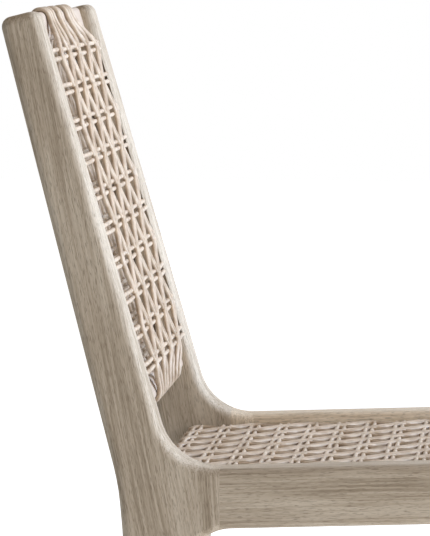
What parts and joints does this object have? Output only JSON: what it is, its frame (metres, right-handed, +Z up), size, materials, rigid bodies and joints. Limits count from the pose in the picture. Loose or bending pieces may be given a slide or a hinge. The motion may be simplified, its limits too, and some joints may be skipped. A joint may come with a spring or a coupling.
{
  "type": "outdoor side chair",
  "caption": "Armless outdoor side chair: weathered teak side frames with a raked back, and an open cane weave of round all-weather strands in the back and the seat.",
  "frame": {"origin": "on the floor under the centre of the chair's bounding box", "axes": "+Z up, -Y the way the sitter faces, +X across the chair, to the right in a front view"},
  "size_m": [0.5, 0.612, 0.879],
  "materials": {
    "teak": "weathered grey wash, sanded, unpolished",
    "tenon_wood": "planed hardwood, hidden in the joints",
    "loom_bar": "powder coated",
    "strand": "round extruded all-weather strand, satin",
    "glide": "moulded",
    "screw": "stainless"
  },
  "bodies": {
    "root": {"rear_post_right": "teak", "rear_post_left": "teak", "knee_block_right": "teak", "knee_block_left": "teak", "side_rail_right": "teak", "side_rail_left": "teak", "front_leg_right": "teak", "front_leg_left": "teak", "rear_tenon_right": "tenon_wood", "rear_tenon_left": "tenon_wood", "front_tenon_right": "tenon_wood", "front_tenon_left": "tenon_wood", "top_back_bar": "loom_bar", "lower_back_bar": "loom_bar", "front_seat_bar": "loom_bar", "rear_seat_bar": "loom_bar", "back_front_pairs": "strand", "back_rear_pairs": "strand", "back_front_strands": "strand", "back_rear_strands": "strand", "seat_upper_pairs": "strand", "seat_lower_pairs": "strand", "seat_upper_strands": "strand", "seat_lower_strands": "strand", "foot_glides": "glide", "glide_screws": "screw"}
  },
  "joints": []
}
